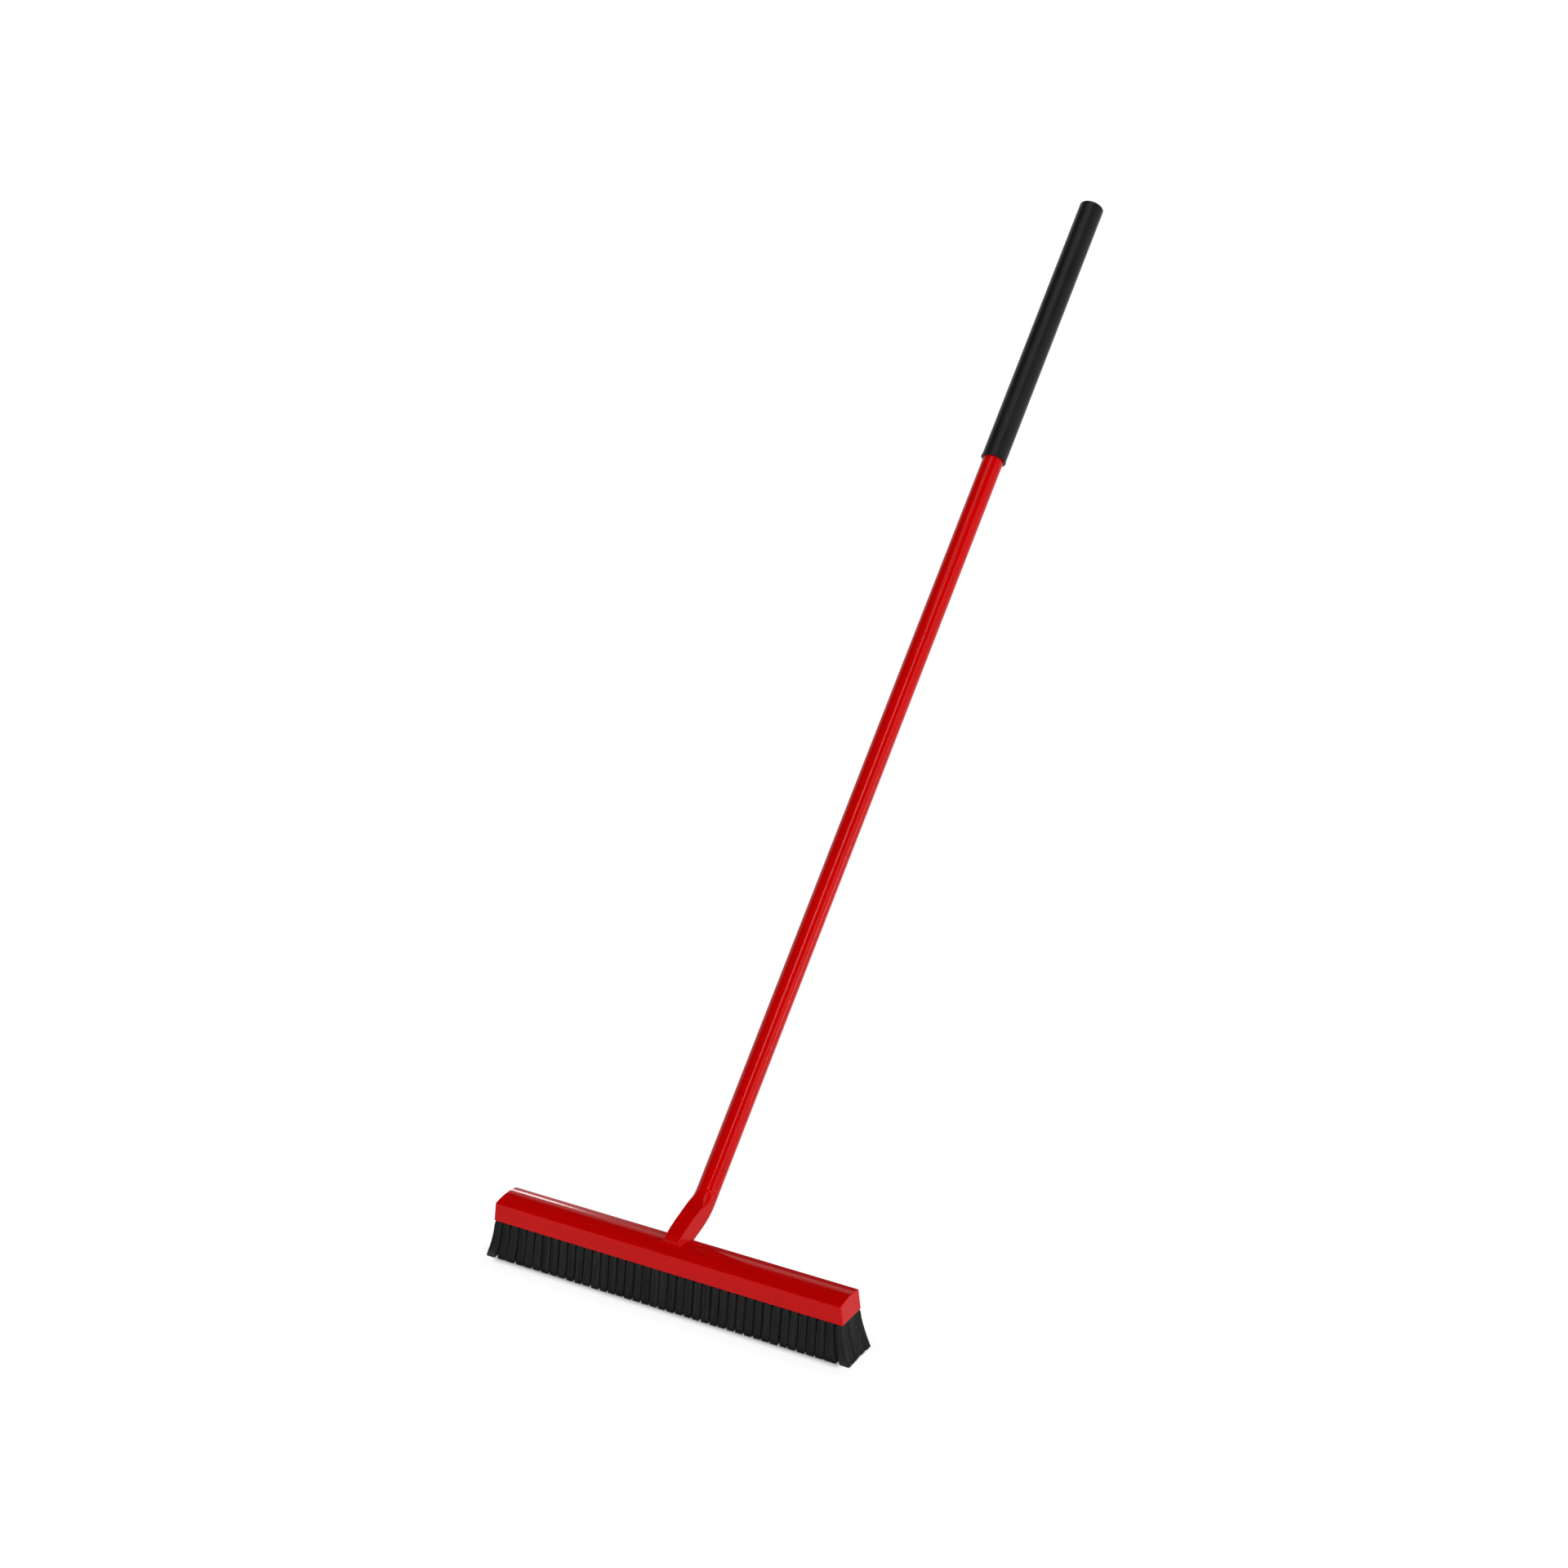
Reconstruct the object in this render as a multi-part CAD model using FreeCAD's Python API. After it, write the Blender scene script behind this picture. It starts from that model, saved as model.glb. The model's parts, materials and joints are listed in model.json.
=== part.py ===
import FreeCAD, Part
import math
import os

# Push broom: a moulded head block with a field of bristle tufts, a gooseneck
# bracket let into its crown, and a screw-in steel handle with a soft grip.
#
# Frame: origin on the floor, at the centre of the sweeping face. +X runs along
# the head, -Y is the front, +Z is up. The handle leans back over +Y. Millimetres.

# ---- driving dimensions ------------------------------------------------------

BLOCK_LENGTH = 440.0        # along X, at the underside
BLOCK_DEPTH = 41.2          # along Y
WALL_HEIGHT = 21.8          # underside to the edge where the crown starts
CROWN_RISE = 3.0            # crown above that edge, at mid depth
END_DRAFT = 2.6             # each end leans in by this much over the wall height
BLOCK_CORNER_RADIUS = 1.6   # upright corners
BLOCK_EDGE_RADIUS = 0.9     # edge between wall and crown

BRISTLE_LENGTH = 47.0       # free length, floor to block
TUFTS_PER_ROW = 41
TUFT_ROWS = 5
TUFT_HOLE_RADIUS = 3.2
TUFT_HOLE_DEPTH = 13.0
TUFT_ROOT_RADIUS = 3.15
TUFT_END_MARGIN = 5.2       # block end to the nearest tuft centre
TUFT_SIDE_MARGIN = 4.9      # block front or back to the nearest tuft centre
END_FLARE = 10.5            # the end tufts spread this far past the block
SIDE_FLARE = 3.6            # the outer rows spread this far past the block
ROW_GAP = 0.4               # between the solids of two neighbouring rows

ANCHOR_WIDTH = 4.8          # flat wire that pins a folded tuft in its hole
ANCHOR_THICKNESS = 0.6
ANCHOR_HEIGHT = 2.6
ANCHOR_GAP = 0.2            # below the anchor, to the tuft's fold

FLANGE_WIDTH = 53.0         # saddle flange, along X
FLANGE_FRONT_MARGIN = 2.4   # block front to the flange
FLANGE_CHAMFER = 0.35       # top edges of the flange, front and sides
SADDLE_FLOOR_DROP = 5.0     # recess floor below the wall-top edge
SADDLE_CLEARANCE = 0.15     # flange to recess wall

ARM_TOP_WIDTH = 19.4
ARM_LOW_WIDTH = 25.2
ARM_THICKNESS = 18.6        # at the foot; the arch is added above it
ARM_TOP_CORNER = 0.7
ARM_LOW_CORNER = 3.2
ARM_ARCH_RISE = 4.1         # how far the top arches up along the arm
ARM_ARCH_LENGTH = 72.0
ARM_SPREAD_FROM = 38.0      # along the arm, where the section starts to open out to the tube
ARM_RISE_DEG = 16.2         # slope of the arm, above horizontal
ARM_FRONT_Y = -4.7          # front face of the arm, at wall-top height
ARM_FRONT_HEIGHT = 6.8      # top of that face above the wall-top edge
ARM_FRONT_LEAN = 1.0        # the front face leans back by this much over its height
FOOT_WIDTH = 20.4           # arm at the crown, inside the skirt
FOOT_SKIRT = 1.4            # sloping skirt between arm and crown, this wide and high
ARM_SECTIONS = 4            # on the straight part, and again on the bend
BEND_RADIUS = 60.0
ROUND_JOIN_DEG = 2.0        # half the arc of the round section that grows from a flat side
SOCKET_ROUND_AT = 44.0      # from here on the socket is fully round, along its axis
SOCKET_END = 66.0           # joint plane, measured along the handle axis

HANDLE_TILT_DEG = 45.9      # from upright
HANDLE_START_Y = 45.0       # where the handle axis crosses the wall-top height
TUBE_RADIUS = 12.7
TUBE_WALL = 1.0
TUBE_END = 1344.0           # top of the tube, along the handle axis

THREAD_RADIUS = 9.5         # 3/4 inch broom-handle thread, drawn plain
THREAD_CLEARANCE = 0.08
THREAD_LENGTH = 31.5
THREAD_TIP_CHAMFER = 1.5
SOCKET_DEPTH = 33.0
FERRULE_PLUG_LENGTH = 38.0
FERRULE_BORE_RADIUS = 5.5
FERRULE_FLOOR = 10.0        # solid tip below the ferrule's lightening bore
PLUG_CLEARANCE = 0.03

RING_THICKNESS = 0.5        # thrust washer between socket and tube
RING_RADIUS = 12.55
RING_BORE_RADIUS = 9.8

GRIP_START = 985.3
GRIP_END = 1352.8
GRIP_RADIUS = 15.05
GRIP_RIM_RADIUS = 15.5
GRIP_RIM_LENGTH = 2.0
GRIP_RIM_ROUND = 0.5
GRIP_END_ROUND = 2.2
GRIP_END_DOME = 0.6
GRIP_CLEARANCE = 0.03
TOP_PLUG_LENGTH = 18.0
TOP_PLUG_CAP = 1.2
TOP_PLUG_CAP_RADIUS = 12.3
TOP_PLUG_BORE_RADIUS = 8.5
TOP_PLUG_FLOOR = 4.0

SCREW_TUFT_STEP = 2         # the screws take the place of these centre-row tufts
SCREW_RADIUS = 2.0
SCREW_HOLE_RADIUS = 2.25
SCREW_HEAD_RADIUS = 3.4
SCREW_HEAD_HEIGHT = 2.8
SCREW_DRIVE_WIDTH = 3.0     # hexagon socket, across flats
SCREW_DRIVE_DEPTH = 1.6
WASHER_RADIUS = 3.7
WASHER_THICKNESS = 0.8
COUNTERBORE_RADIUS = 3.9
COUNTERBORE_DEPTH = 6.0
INSERT_RADIUS = 3.2
INSERT_LENGTH = 6.0
INSERT_CLEARANCE = 0.03

# ---- places worked out from them ---------------------------------------------

WALL_TOP_Z = BRISTLE_LENGTH + WALL_HEIGHT
CROWN_Z = WALL_TOP_Z + CROWN_RISE
SADDLE_FLOOR_Z = WALL_TOP_Z - SADDLE_FLOOR_DROP
HALF_DEPTH = BLOCK_DEPTH / 2
TUFT_PITCH_X = (BLOCK_LENGTH - 2 * TUFT_END_MARGIN) / (TUFTS_PER_ROW - 1)
TUFT_PITCH_Y = (BLOCK_DEPTH - 2 * TUFT_SIDE_MARGIN) / (TUFT_ROWS - 1)
TUBE_START = SOCKET_END + RING_THICKNESS
TUBE_BORE_RADIUS = TUBE_RADIUS - TUBE_WALL
CLEAR_ABOVE = 40.0          # how far a cutting box reaches past the block

X_AXIS = FreeCAD.Vector(1, 0, 0)
Y_AXIS = FreeCAD.Vector(0, 1, 0)
Z_AXIS = FreeCAD.Vector(0, 0, 1)
TILT = math.radians(HANDLE_TILT_DEG)
HANDLE_DIR = FreeCAD.Vector(0, math.sin(TILT), math.cos(TILT))
HANDLE_ORIGIN = FreeCAD.Vector(0, HANDLE_START_Y, WALL_TOP_Z)


# ---- small helpers -------------------------------------------------------------

def export(name, shape):
    shape.exportStep("parts/" + name + ".step")


def box(x_range, y_range, z_range):
    size = [high - low for low, high in (x_range, y_range, z_range)]
    corner = FreeCAD.Vector(x_range[0], y_range[0], z_range[0])
    return Part.makeBox(size[0], size[1], size[2], corner)


def upright_cylinder(radius, x, y, z_low, z_high):
    return Part.makeCylinder(radius, z_high - z_low, FreeCAD.Vector(x, y, z_low), Z_AXIS)


def along_handle(distance):
    return HANDLE_ORIGIN + HANDLE_DIR * distance


def handle_placement():
    return FreeCAD.Placement(HANDLE_ORIGIN, FreeCAD.Rotation(Z_AXIS, HANDLE_DIR))


def turned(outline):
    """Solid of revolution on the handle axis; outline holds edges in (radius, distance)."""
    face = Part.Face(Part.Wire(outline))
    solid = face.revolve(FreeCAD.Vector(0, 0, 0), Z_AXIS, 360)
    solid.Placement = handle_placement()
    return solid


def at(radius, distance):
    return FreeCAD.Vector(radius, 0, distance)


def path(points):
    """Straight edges through the (radius, distance) points, closed."""
    corners = [at(radius, distance) for radius, distance in points]
    closed = corners + corners[:1]
    return [Part.LineSegment(a, b).toShape() for a, b in zip(closed, closed[1:])]


def tuft_x(index):
    return (index - (TUFTS_PER_ROW - 1) / 2) * TUFT_PITCH_X


def tuft_y(row):
    return (row - (TUFT_ROWS - 1) / 2) * TUFT_PITCH_Y


def screw_indices():
    middle = (TUFTS_PER_ROW - 1) // 2
    return [middle - SCREW_TUFT_STEP, middle + SCREW_TUFT_STEP]


def tufts_in_row(row):
    """Indices of the tufts in a row; the centre row gives up two to the screws."""
    if row == (TUFT_ROWS - 1) // 2:
        return [i for i in range(TUFTS_PER_ROW) if i not in screw_indices()]
    return list(range(TUFTS_PER_ROW))


# ---- head block ------------------------------------------------------------------

def block_body():
    """The block without any holes: a domed profile with drafted ends."""
    x_end = -BLOCK_LENGTH / 2
    front_low = FreeCAD.Vector(x_end, -HALF_DEPTH, BRISTLE_LENGTH)
    back_low = FreeCAD.Vector(x_end, HALF_DEPTH, BRISTLE_LENGTH)
    back_high = FreeCAD.Vector(x_end, HALF_DEPTH, WALL_TOP_Z)
    crown = FreeCAD.Vector(x_end, 0, CROWN_Z)
    front_high = FreeCAD.Vector(x_end, -HALF_DEPTH, WALL_TOP_Z)
    profile = Part.Wire([
        Part.LineSegment(front_low, back_low).toShape(),
        Part.LineSegment(back_low, back_high).toShape(),
        Part.Arc(back_high, crown, front_high).toShape(),
        Part.LineSegment(front_high, front_low).toShape(),
    ])
    bar = Part.Face(profile).extrude(X_AXIS * BLOCK_LENGTH)

    full_height = WALL_HEIGHT + 2 * CROWN_RISE
    low = BLOCK_LENGTH / 2
    high = low - END_DRAFT * full_height / WALL_HEIGHT
    top = BRISTLE_LENGTH + full_height
    side = [(-low, BRISTLE_LENGTH), (low, BRISTLE_LENGTH), (high, top), (-high, top)]
    corners = [FreeCAD.Vector(x, -BLOCK_DEPTH, z) for x, z in side]
    wedge = Part.Face(Part.makePolygon(corners + corners[:1])).extrude(Y_AXIS * (2 * BLOCK_DEPTH))
    body = bar.common(wedge).Solids[0]

    upright = [
        e for e in body.Edges
        if e.BoundBox.ZLength > WALL_HEIGHT - 0.1 and e.BoundBox.YLength < 0.1]
    body = body.makeFillet(BLOCK_CORNER_RADIUS, upright)
    rim = [e for e in body.Edges if e.BoundBox.ZMin > WALL_TOP_Z - 0.1]
    return body.makeFillet(BLOCK_EDGE_RADIUS, rim)


def saddle_box(margin):
    half = FLANGE_WIDTH / 2 + margin
    front = -HALF_DEPTH + FLANGE_FRONT_MARGIN - margin
    back, top = HALF_DEPTH + CLEAR_ABOVE, CROWN_Z + CLEAR_ABOVE
    return box((-half, half), (front, back), (SADDLE_FLOOR_Z, top))


def head_block(body):
    cutters = [saddle_box(SADDLE_CLEARANCE)]
    hole_top = BRISTLE_LENGTH + TUFT_HOLE_DEPTH
    for row in range(TUFT_ROWS):
        for index in tufts_in_row(row):
            cutters.append(upright_cylinder(
                TUFT_HOLE_RADIUS, tuft_x(index), tuft_y(row), BRISTLE_LENGTH - 1, hole_top))
    seat = BRISTLE_LENGTH + COUNTERBORE_DEPTH
    for index in screw_indices():
        x = tuft_x(index)
        counterbore = upright_cylinder(COUNTERBORE_RADIUS, x, 0, BRISTLE_LENGTH - 1, seat)
        through = upright_cylinder(SCREW_HOLE_RADIUS, x, 0, seat - 1, SADDLE_FLOOR_Z + 1)
        cutters.append(counterbore.fuse(through))
    return body.cut(cutters)


# ---- bristles ----------------------------------------------------------------------

def bristle_row(row):
    """One row: a flared slab from the block to the floor, with a root in every hole."""
    field_top = HALF_DEPTH - (TUFT_SIDE_MARGIN - TUFT_HOLE_RADIUS)
    field_bottom = HALF_DEPTH + SIDE_FLARE
    end_top = BLOCK_LENGTH / 2 - (TUFT_END_MARGIN - TUFT_HOLE_RADIUS)
    end_bottom = BLOCK_LENGTH / 2 + END_FLARE
    share = 2 / TUFT_ROWS

    def outline(half_x, half_y, z):
        low = (row * share - 1) * half_y + ROW_GAP / 2
        high = ((row + 1) * share - 1) * half_y - ROW_GAP / 2
        ring = [(-half_x, low), (half_x, low), (half_x, high), (-half_x, high)]
        corners = [FreeCAD.Vector(x, y, z) for x, y in ring]
        return Part.makePolygon(corners + corners[:1])

    slab = Part.makeLoft([
        outline(end_bottom, field_bottom, 0),
        outline(end_top, field_top, BRISTLE_LENGTH),
    ], True, True)
    root_top = BRISTLE_LENGTH + TUFT_HOLE_DEPTH - ANCHOR_HEIGHT - ANCHOR_GAP
    roots = [
        upright_cylinder(TUFT_ROOT_RADIUS, tuft_x(i), tuft_y(row), BRISTLE_LENGTH - 1, root_top)
        for i in tufts_in_row(row)
    ]
    return slab.fuse(roots)


def tuft_anchors(row):
    """The flat wire anchors at the bottom of a row's holes, one per tuft."""
    top = BRISTLE_LENGTH + TUFT_HOLE_DEPTH
    y = tuft_y(row)
    pieces = []
    for index in tufts_in_row(row):
        x = tuft_x(index)
        pieces.append(box(
            (x - ANCHOR_WIDTH / 2, x + ANCHOR_WIDTH / 2),
            (y - ANCHOR_THICKNESS / 2, y + ANCHOR_THICKNESS / 2),
            (top - ANCHOR_HEIGHT, top)))
    return Part.makeCompound(pieces)


# ---- gooseneck bracket ---------------------------------------------------------------

def rounded_section(centre, forward, top, low):
    """Closed outline square to forward: four sides and four corner arcs.

    top and low each give the half width, the distance from the centre and the corner radius.
    """
    up = X_AXIS.cross(forward)

    def corner(side, half_width, height, radius, inward):
        """The three arc points of one corner; inward is the way from it to the centre line."""
        tip = centre + X_AXIS * (side * half_width) + up * height
        across = X_AXIS * (-side * radius)
        along = up * (inward * radius)
        middle = tip + (across + along) * (1 - math.sqrt(0.5))
        return tip + along, middle, tip + across

    quarters = [
        corner(1, top[0], top[1], top[2], -1),
        corner(-1, top[0], top[1], top[2], -1)[::-1],
        corner(-1, low[0], -low[1], low[2], 1),
        corner(1, low[0], -low[1], low[2], 1)[::-1],
    ]
    wire = []
    for quarter, following in zip(quarters, quarters[1:] + quarters[:1]):
        wire.append(Part.Arc(*quarter).toShape())
        wire.append(Part.LineSegment(quarter[2], following[0]).toShape())
    return Part.Wire(wire)


def round_section(centre, forward, radius):
    """A circle cut into eight arcs that match the sides and corners of a rounded section."""
    up = X_AXIS.cross(forward)

    def point(degrees):
        angle = math.radians(degrees)
        return centre + X_AXIS * (radius * math.cos(angle)) + up * (radius * math.sin(angle))

    arcs = []
    for quarter in range(4):
        start = quarter * 90 + ROUND_JOIN_DEG
        end = (quarter + 1) * 90 - ROUND_JOIN_DEG
        following = end + 2 * ROUND_JOIN_DEG
        arcs.append(Part.Arc(point(start), point((start + end) / 2), point(end)).toShape())
        arcs.append(Part.Arc(point(end), point((end + following) / 2), point(following)).toShape())
    return Part.Wire(arcs)


def eased(value):
    share = min(max(value, 0), 1)
    return share * share * (3 - 2 * share)


def arm_section(centre, forward, distance, length):
    """The arm's section at a distance along it: narrower on top, arched, opening out to the tube."""
    half = ARM_THICKNESS / 2
    spread = eased((distance - ARM_SPREAD_FROM) / (length - ARM_SPREAD_FROM))
    arch = ARM_ARCH_RISE * math.sin(math.pi * min(max(distance / ARM_ARCH_LENGTH, 0), 1))

    def towards_tube(start, share):
        return start + (TUBE_RADIUS - start) * share

    top = (
        towards_tube(ARM_TOP_WIDTH / 2, spread),
        towards_tube(half, spread) + arch,
        towards_tube(ARM_TOP_CORNER, spread ** 2))
    low = (
        towards_tube(ARM_LOW_WIDTH / 2, spread),
        towards_tube(half, spread),
        towards_tube(ARM_LOW_CORNER, spread))
    return rounded_section(centre, forward, top, low)


def gooseneck_arm():
    """Arched arm that turns up and rounds off into the handle's axis, with its round socket."""
    rise = math.radians(ARM_RISE_DEG)
    arm_dir = FreeCAD.Vector(0, math.cos(rise), math.sin(rise))
    arm_up = X_AXIS.cross(arm_dir)
    top_front = FreeCAD.Vector(0, ARM_FRONT_Y, WALL_TOP_Z + ARM_FRONT_HEIGHT)
    foot = top_front - arm_up * (ARM_THICKNESS / 2)
    lead_in = CLEAR_ABOVE / 4

    gap = HANDLE_ORIGIN - foot
    turn = math.pi / 2 - TILT - rise
    to_corner = (gap.y * HANDLE_DIR.z - gap.z * HANDLE_DIR.y) / math.sin(turn)
    straight = to_corner - BEND_RADIUS * math.tan(turn / 2)
    bend_centre = foot + arm_dir * straight + arm_up * BEND_RADIUS
    corner_along = (foot + arm_dir * to_corner - HANDLE_ORIGIN).Length
    past_bend = SOCKET_ROUND_AT - corner_along - BEND_RADIUS * math.tan(turn / 2)
    length = straight + BEND_RADIUS * turn + past_bend

    sections = [arm_section(foot - arm_dir * lead_in, arm_dir, -lead_in, length)]
    for step in range(ARM_SECTIONS):
        distance = straight * step / ARM_SECTIONS
        sections.append(arm_section(foot + arm_dir * distance, arm_dir, distance, length))
    for step in range(ARM_SECTIONS):
        angle = turn * step / (ARM_SECTIONS - 1)
        forward = arm_dir * math.cos(angle) + arm_up * math.sin(angle)
        outward = arm_dir * math.sin(angle) - arm_up * math.cos(angle)
        distance = straight + BEND_RADIUS * angle
        sections.append(arm_section(bend_centre + outward * BEND_RADIUS, forward, distance, length))
    sections.append(round_section(along_handle(SOCKET_ROUND_AT), HANDLE_DIR, TUBE_RADIUS))
    arm = Part.makeLoft(sections, True, False)
    socket = Part.Face(sections[-1]).extrude(HANDLE_DIR * (SOCKET_END - SOCKET_ROUND_AT))
    return arm.fuse(socket)


def ahead_of_arm():
    """Everything in front of the arm's front face, which leans back a little."""
    reach = CLEAR_ABOVE * 2
    lean = ARM_FRONT_LEAN / ARM_FRONT_HEIGHT * reach
    low, high = WALL_TOP_Z - reach, WALL_TOP_Z + reach
    edge = [(ARM_FRONT_Y - lean, low), (ARM_FRONT_Y + lean, high), (-reach, high), (-reach, low)]
    corners = [FreeCAD.Vector(-reach, y, z) for y, z in edge]
    return Part.Face(Part.makePolygon(corners + corners[:1])).extrude(X_AXIS * (2 * reach))


def foot_skirt():
    """Sloping skirt that follows the crown round the arm's front and sides."""
    crown_radius = (HALF_DEPTH ** 2 + CROWN_RISE ** 2) / (2 * CROWN_RISE)
    crown_centre = FreeCAD.Vector(0, 0, CROWN_Z - crown_radius)
    low_half = FOOT_WIDTH / 2 + 2 * FOOT_SKIRT
    high_half = FOOT_WIDTH / 2
    low, high = CROWN_Z - FOOT_SKIRT, CROWN_Z + FOOT_SKIRT
    ring = [(-low_half, low), (low_half, low), (high_half, high), (-high_half, high)]
    corners = [FreeCAD.Vector(x, 0, z) for x, z in ring]
    section = Part.Face(Part.makePolygon(corners + corners[:1]))
    sweep = math.degrees(math.asin(HALF_DEPTH / crown_radius))
    section.rotate(crown_centre, X_AXIS, sweep)
    band = section.revolve(crown_centre, X_AXIS, -2 * sweep - 2)
    front_z = CROWN_Z + FOOT_SKIRT
    front_y = ARM_FRONT_Y + ARM_FRONT_LEAN * (front_z - WALL_TOP_Z) / ARM_FRONT_HEIGHT
    reach = CLEAR_ABOVE
    slope = [(front_y - reach, front_z - reach), (front_y, front_z), (front_y, front_z + reach),
             (HALF_DEPTH, front_z + reach), (HALF_DEPTH, front_z - reach)]
    corners = [FreeCAD.Vector(-reach, y, z) for y, z in slope]
    behind = Part.Face(Part.makePolygon(corners + corners[:1])).extrude(X_AXIS * (2 * reach))
    return band.common(behind)


def neck(body):
    arm = gooseneck_arm()
    below = box((-FLANGE_WIDTH, FLANGE_WIDTH), (-CLEAR_ABOVE, HALF_DEPTH), (0, SADDLE_FLOOR_Z))
    arm = arm.cut([ahead_of_arm(), below])
    flange = body.common(saddle_box(0))
    rim = [
        e for e in flange.Edges
        if e.BoundBox.ZMin > WALL_TOP_Z and (e.BoundBox.XLength < 0.1 or e.BoundBox.YMax < 0)]
    flange = flange.makeChamfer(FLANGE_CHAMFER, rim)
    joined = flange.fuse([arm, foot_skirt()])
    bore_radius = THREAD_RADIUS + THREAD_CLEARANCE
    bore_start = along_handle(SOCKET_END - SOCKET_DEPTH)
    bore = Part.makeCylinder(bore_radius, SOCKET_DEPTH + 1, bore_start, HANDLE_DIR)
    cutters = [bore]
    insert_top = SADDLE_FLOOR_Z + INSERT_LENGTH + INSERT_CLEARANCE
    for index in screw_indices():
        radius = INSERT_RADIUS + INSERT_CLEARANCE
        cutters.append(upright_cylinder(radius, tuft_x(index), 0, SADDLE_FLOOR_Z - 1, insert_top))
    return joined.cut(cutters)


# ---- head screws, washers and threaded inserts -----------------------------------------

def head_screw(x):
    seat = BRISTLE_LENGTH + COUNTERBORE_DEPTH
    head_top = seat - WASHER_THICKNESS
    head_low = head_top - SCREW_HEAD_HEIGHT
    tip = SADDLE_FLOOR_Z + INSERT_LENGTH - 0.5
    head = upright_cylinder(SCREW_HEAD_RADIUS, x, 0, head_low, head_top)
    shank = upright_cylinder(SCREW_RADIUS, x, 0, head_low + 1, tip)
    corner = SCREW_DRIVE_WIDTH / math.sqrt(3)
    points = []
    for side in range(7):
        turn = math.pi * side / 3
        points.append(FreeCAD.Vector(x + corner * math.cos(turn), corner * math.sin(turn), head_low - 1))
    drive = Part.Face(Part.makePolygon(points)).extrude(Z_AXIS * (SCREW_DRIVE_DEPTH + 1))
    return head.fuse(shank).cut(drive)


def head_washer(x):
    seat = BRISTLE_LENGTH + COUNTERBORE_DEPTH
    disc = upright_cylinder(WASHER_RADIUS, x, 0, seat - WASHER_THICKNESS, seat)
    return disc.cut(upright_cylinder(SCREW_HOLE_RADIUS, x, 0, seat - 2, seat + 1))


def threaded_insert(x):
    top = SADDLE_FLOOR_Z + INSERT_LENGTH
    bush = upright_cylinder(INSERT_RADIUS, x, 0, SADDLE_FLOOR_Z, top)
    bore = SCREW_RADIUS + INSERT_CLEARANCE
    return bush.cut(upright_cylinder(bore, x, 0, SADDLE_FLOOR_Z - 1, top + 1))


# ---- handle --------------------------------------------------------------------------

def thrust_ring():
    return turned(path([
        (RING_BORE_RADIUS, SOCKET_END), (RING_RADIUS, SOCKET_END),
        (RING_RADIUS, TUBE_START), (RING_BORE_RADIUS, TUBE_START)]))


def handle_tube():
    return turned(path([
        (TUBE_BORE_RADIUS, TUBE_START), (TUBE_RADIUS, TUBE_START),
        (TUBE_RADIUS, TUBE_END), (TUBE_BORE_RADIUS, TUBE_END)]))


def threaded_ferrule():
    """Moulded tip: a plug driven into the tube, with the screw thread below it."""
    plug = TUBE_BORE_RADIUS - PLUG_CLEARANCE
    tip = TUBE_START - THREAD_LENGTH
    top = TUBE_START + FERRULE_PLUG_LENGTH
    bore_floor = tip + FERRULE_FLOOR
    return turned(path([
        (0, tip), (THREAD_RADIUS - THREAD_TIP_CHAMFER, tip),
        (THREAD_RADIUS, tip + THREAD_TIP_CHAMFER), (THREAD_RADIUS, TUBE_START),
        (plug, TUBE_START), (plug, top), (FERRULE_BORE_RADIUS, top),
        (FERRULE_BORE_RADIUS, bore_floor), (0, bore_floor)]))


def tube_top_plug():
    """Cap that closes the tube's top end, under the grip."""
    plug = TUBE_BORE_RADIUS - PLUG_CLEARANCE
    low = TUBE_END - TOP_PLUG_LENGTH
    cap_top = TUBE_END + TOP_PLUG_CAP
    floor = cap_top - TOP_PLUG_FLOOR
    return turned(path([
        (TOP_PLUG_BORE_RADIUS, low), (plug, low), (plug, TUBE_END),
        (TOP_PLUG_CAP_RADIUS, TUBE_END), (TOP_PLUG_CAP_RADIUS, cap_top),
        (0, cap_top), (0, floor), (TOP_PLUG_BORE_RADIUS, floor)]))


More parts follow.
